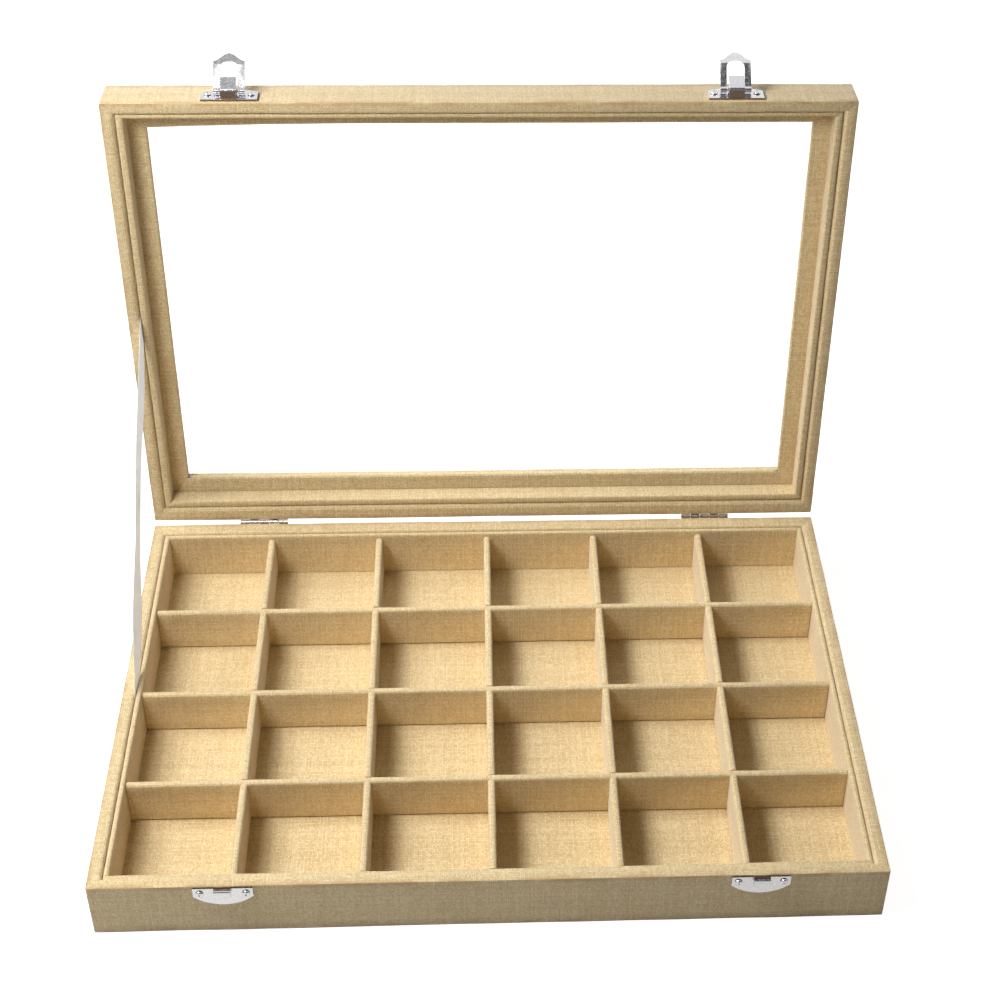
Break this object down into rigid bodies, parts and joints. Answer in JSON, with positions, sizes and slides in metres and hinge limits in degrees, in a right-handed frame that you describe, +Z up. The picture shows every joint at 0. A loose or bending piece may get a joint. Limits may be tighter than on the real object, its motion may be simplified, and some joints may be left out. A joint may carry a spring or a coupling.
{
  "type": "tray with lid",
  "caption": "Shallow linen-covered display tray divided into square compartments, with a hinged glazed lid, hasp latches at the front and a ribbon stay.",
  "frame": {"origin": "middle of the underside, on the surface the tray rests on", "axes": "+X to the right along the front edge, +Y from the front to the hinges, +Z up; the lid is stored open"},
  "size_m": [0.35, 0.2785, 0.2864],
  "materials": {
    "linen": "natural linen over board",
    "linen_shaded": "natural linen over board",
    "nickel": "bright nickel plate",
    "glass": "clear",
    "satin": "satin ribbon"
  },
  "bodies": {
    "base": {"base_panel": "linen_shaded", "floor_lining": "linen", "base_front_wall": "linen", "base_rear_wall": "linen", "base_left_wall": "linen", "base_right_wall": "linen", "base_front_liner": "linen", "base_rear_liner": "linen", "base_left_liner": "linen", "base_right_liner": "linen", "long_divider_1": "linen_shaded", "long_divider_2": "linen_shaded", "long_divider_3": "linen_shaded", "short_divider_1": "linen_shaded", "short_divider_2": "linen_shaded", "short_divider_3": "linen_shaded", "short_divider_4": "linen_shaded", "short_divider_5": "linen_shaded", "left_hinge_base_leaf": "nickel", "left_hinge_pin": "nickel", "left_hinge_base_screw_1": "nickel", "left_hinge_base_screw_2": "nickel", "left_latch_catch": "nickel", "left_latch_catch_screw_1": "nickel", "left_latch_catch_screw_2": "nickel", "right_hinge_base_leaf": "nickel", "right_hinge_pin": "nickel", "right_hinge_base_screw_1": "nickel", "right_hinge_base_screw_2": "nickel", "right_latch_catch": "nickel", "right_latch_catch_screw_1": "nickel", "right_latch_catch_screw_2": "nickel", "ribbon_stay": "satin"},
    "lid": {"lid_front_rail": "linen", "lid_rear_rail": "linen", "lid_left_rail": "linen", "lid_right_rail": "linen", "lid_front_liner": "linen", "lid_rear_liner": "linen", "lid_left_liner": "linen", "lid_right_liner": "linen", "lid_top_frame": "linen", "lid_inner_frame": "linen_shaded", "glass_pane": "glass", "left_hinge_lid_leaf": "nickel", "left_hinge_lid_screw_1": "nickel", "left_hinge_lid_screw_2": "nickel", "left_latch_lid_plate": "nickel", "left_latch_pin": "nickel", "left_latch_lid_screw_1": "nickel", "left_latch_lid_screw_2": "nickel", "right_hinge_lid_leaf": "nickel", "right_hinge_lid_screw_1": "nickel", "right_hinge_lid_screw_2": "nickel", "right_latch_lid_plate": "nickel", "right_latch_pin": "nickel", "right_latch_lid_screw_1": "nickel", "right_latch_lid_screw_2": "nickel"},
    "left_hasp": {"left_latch_hasp": "nickel"},
    "right_hasp": {"right_latch_hasp": "nickel"}
  },
  "joints": [
    {"name": "lid_hinge", "type": "hinge", "parent": "base", "child": "lid", "pos_m": [0, 0.1214, 0.03015], "axis": [1, 0, 0], "range_deg": [0, 93], "deforming": ["ribbon_stay"]},
    {"name": "left_hasp_pivot", "type": "hinge", "parent": "lid", "child": "left_hasp", "pos_m": [-0.1162, 0.14162, 0.27363], "axis": [1, 0, 0], "range_deg": [-24, 126]},
    {"name": "right_hasp_pivot", "type": "hinge", "parent": "lid", "child": "right_hasp", "pos_m": [0.118, 0.14162, 0.27363], "axis": [1, 0, 0], "range_deg": [-24, 126]}
  ]
}
